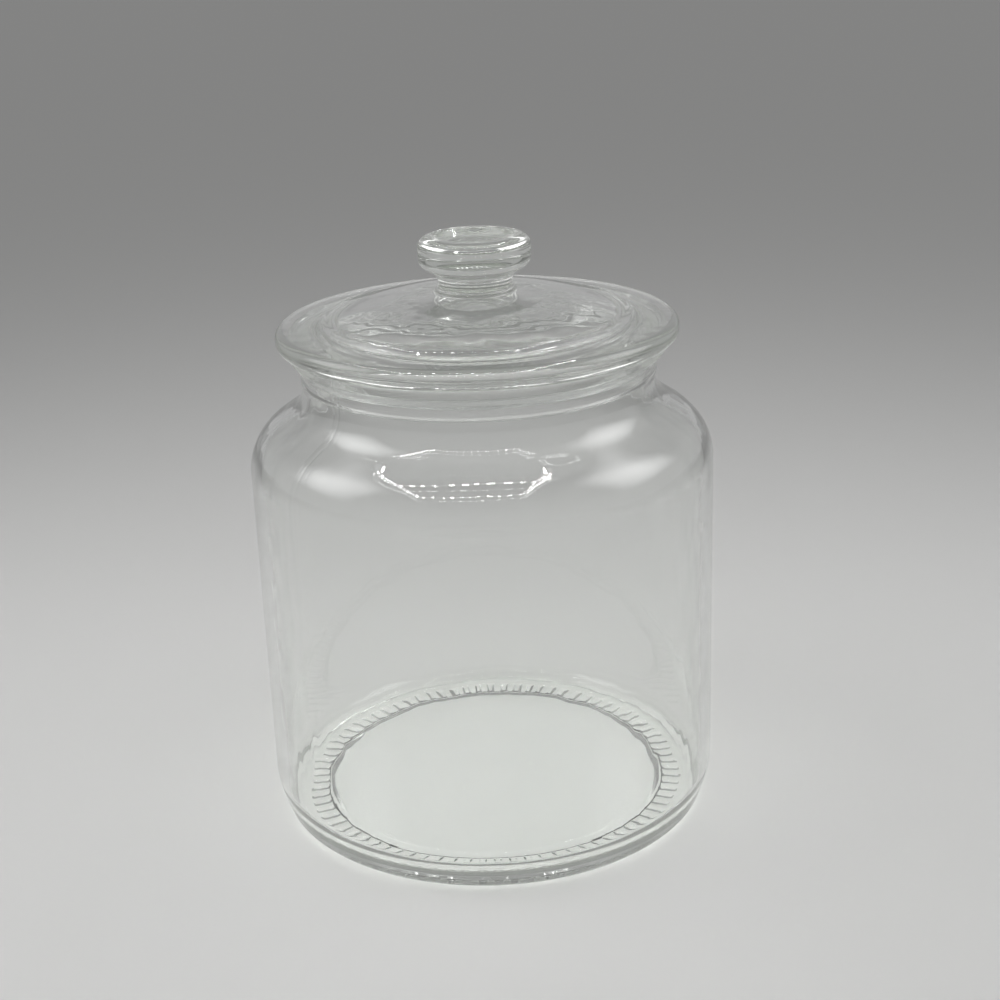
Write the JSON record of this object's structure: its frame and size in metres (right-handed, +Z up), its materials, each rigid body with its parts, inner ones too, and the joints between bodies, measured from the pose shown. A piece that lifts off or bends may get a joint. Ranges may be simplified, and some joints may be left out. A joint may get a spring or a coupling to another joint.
{
  "type": "glass storage jar",
  "caption": "Clear glass storage jar with a rounded shoulder, a beaded mouth and a loose glass lid with a dished knob, for dry food kept on a shelf or counter.",
  "frame": {"origin": "centre of the face that the jar stands on", "axes": "+Z up along the jar's axis, through the middle of the mouth and of the lid's knob"},
  "size_m": [0.14, 0.14, 0.1782],
  "materials": {
    "jar_glass": "clear pressed and blown glass, fire-polished",
    "lid_glass": "clear pressed glass, fire-polished"
  },
  "bodies": {
    "root": {"jar": "jar_glass", "lid": "lid_glass"}
  },
  "joints": []
}
